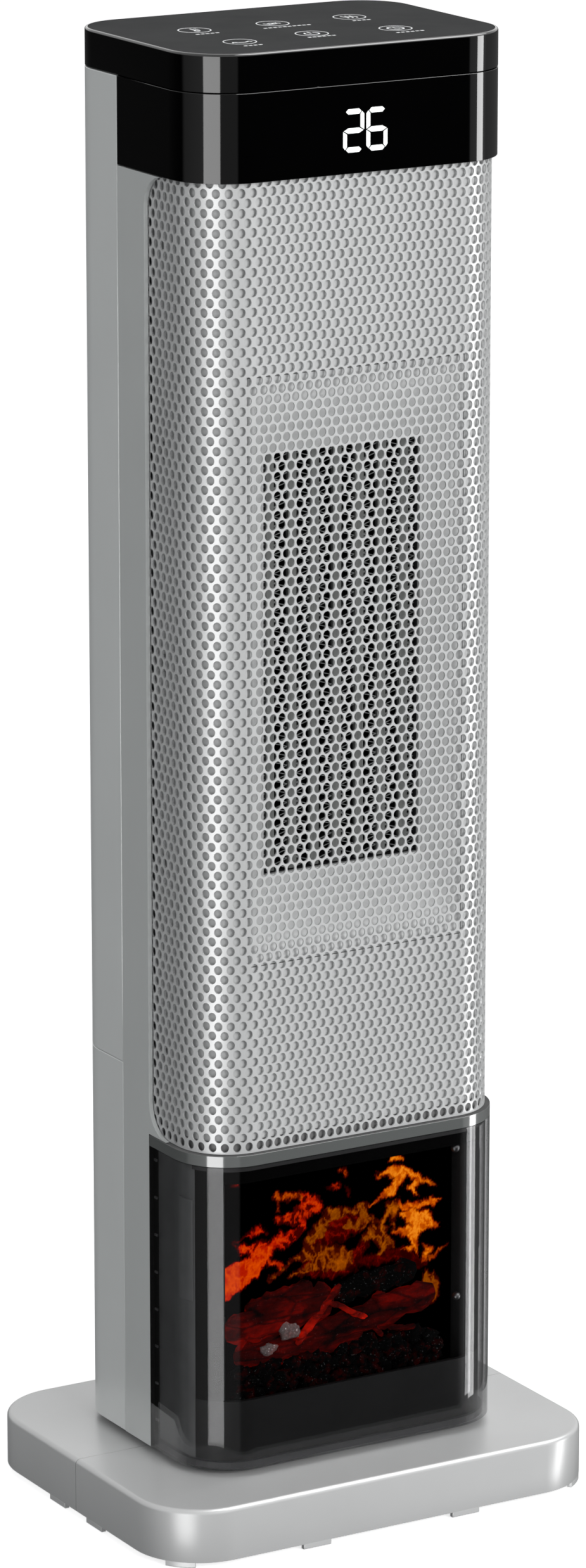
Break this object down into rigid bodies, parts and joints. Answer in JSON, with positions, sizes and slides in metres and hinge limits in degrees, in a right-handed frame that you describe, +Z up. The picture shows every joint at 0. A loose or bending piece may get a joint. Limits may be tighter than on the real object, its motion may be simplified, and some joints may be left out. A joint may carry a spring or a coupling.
{
  "type": "ceramic tower heater",
  "caption": "Tall ceramic tower heater: perforated wrap-round front, black touch-panel cap with display band, flame-effect window below, on a wide oscillating base.",
  "frame": {"origin": "centre of the base's footprint, on the surface the heater stands on", "axes": "+Z up, -Y out of the grille and the flame window, +X to the right seen from the front"},
  "size_m": [0.2256, 0.176, 0.66],
  "materials": {
    "casing_silver": "satin silver grey",
    "base_silver": "satin light silver",
    "grille_paint": "satin light grey",
    "gloss_black": "high gloss",
    "panel_grey": "satin",
    "smoked_clear": "smoked transparent",
    "trim_grey": "gloss",
    "duct_grey": "matte",
    "black_plastic": "matte",
    "heater_metal": "mill finish",
    "steel": "bright",
    "zinc_plate": "zinc plated",
    "white_nylon": "natural nylon",
    "board_green": "solder mask",
    "rubber_foot": "matte",
    "flame_film": "translucent diffuser",
    "fuel_resin": "cast resin embers"
  },
  "bodies": {
    "base": {"base_front_half": "base_silver", "base_rear_half": "base_silver", "pivot_plate": "zinc_plate", "slide_ring": "white_nylon", "fixed_gear": "white_nylon", "foot_1": "rubber_foot", "foot_2": "rubber_foot", "foot_3": "rubber_foot", "foot_4": "rubber_foot", "base_screw_1": "steel", "base_screw_2": "steel", "base_screw_3": "steel", "base_screw_4": "steel", "gear_screw_1": "steel", "gear_screw_2": "steel", "gear_screw_3": "steel"},
    "tower": {"casing_screw_1": "steel", "casing_screw_2": "steel", "casing_screw_3": "steel", "casing_screw_4": "steel", "control_board": "board_green", "cord_gland": "black_plastic", "display_band": "gloss_black", "display_board": "board_green", "fan_bush": "white_nylon", "fan_motor": "zinc_plate", "fan_plate_bottom": "black_plastic", "fan_plate_top": "black_plastic", "flame_box": "black_plastic", "flame_led_board": "board_green", "flame_screen": "flame_film", "front_casing": "casing_silver", "fuel_bed": "fuel_resin", "grille": "grille_paint", "osc_motor": "zinc_plate", "outlet_funnel": "duct_grey", "power_board": "board_green", "ptc_core": "heater_metal", "ptc_frame": "black_plastic", "rear_casing_lower": "casing_silver", "rear_casing_upper": "casing_silver", "scroll_housing": "black_plastic", "spindle_motor": "zinc_plate", "switch_bezel": "black_plastic", "thermal_cutout": "zinc_plate", "tip_switch": "black_plastic", "top_cap": "gloss_black", "touch_panel": "panel_grey", "tower_floor": "black_plastic", "vortex_tongue": "black_plastic", "window_cover": "smoked_clear", "window_trim": "trim_grey"},
    "osc_pinion": {"osc_pinion": "white_nylon"},
    "fan_rotor": {"fan_wheel": "black_plastic", "fan_shaft": "steel"},
    "flame_spindle": {"flame_spindle": "steel"},
    "power_rocker": {"power_rocker": "black_plastic"},
    "filter_cover": {"filter_cover": "casing_silver"},
    "tip_pendulum": {"tip_pendulum": "steel"}
  },
  "joints": [
    {"name": "oscillation", "type": "hinge", "parent": "base", "child": "tower", "pos_m": [0, 0, 0.03], "axis": [0, 0, 1], "range_deg": [-35, 35]},
    {"name": "pinion_spin", "type": "hinge", "parent": "tower", "child": "osc_pinion", "pos_m": [0.02902, 0.03459, 0.0363], "axis": [0, 0, 1], "range_deg": [-97, 97]},
    {"name": "fan_spin", "type": "hinge", "parent": "tower", "child": "fan_rotor", "pos_m": [0, 0.014, 0.243], "axis": [0, 0, 1], "continuous": true},
    {"name": "flame_spin", "type": "hinge", "parent": "tower", "child": "flame_spindle", "pos_m": [0, -0.022, 0.084], "axis": [1, 0, 0], "continuous": true},
    {"name": "rocker_tilt", "type": "hinge", "parent": "tower", "child": "power_rocker", "pos_m": [0.038, 0.0575, 0.09], "axis": [1, 0, 0], "range_deg": [-16, 0]},
    {"name": "filter_pull", "type": "slide", "parent": "tower", "child": "filter_cover", "axis": [0, 1, 0], "range_m": [0, 0.08]},
    {"name": "tip_swing", "type": "hinge", "parent": "tower", "child": "tip_pendulum", "pos_m": [-0.046, 0.032, 0.0566], "axis": [1, 0, 0], "range_deg": [-25, 25]}
  ],
  "couplings": [
    {"joint": "pinion_spin", "follows": "oscillation", "ratio": 2.75}
  ]
}
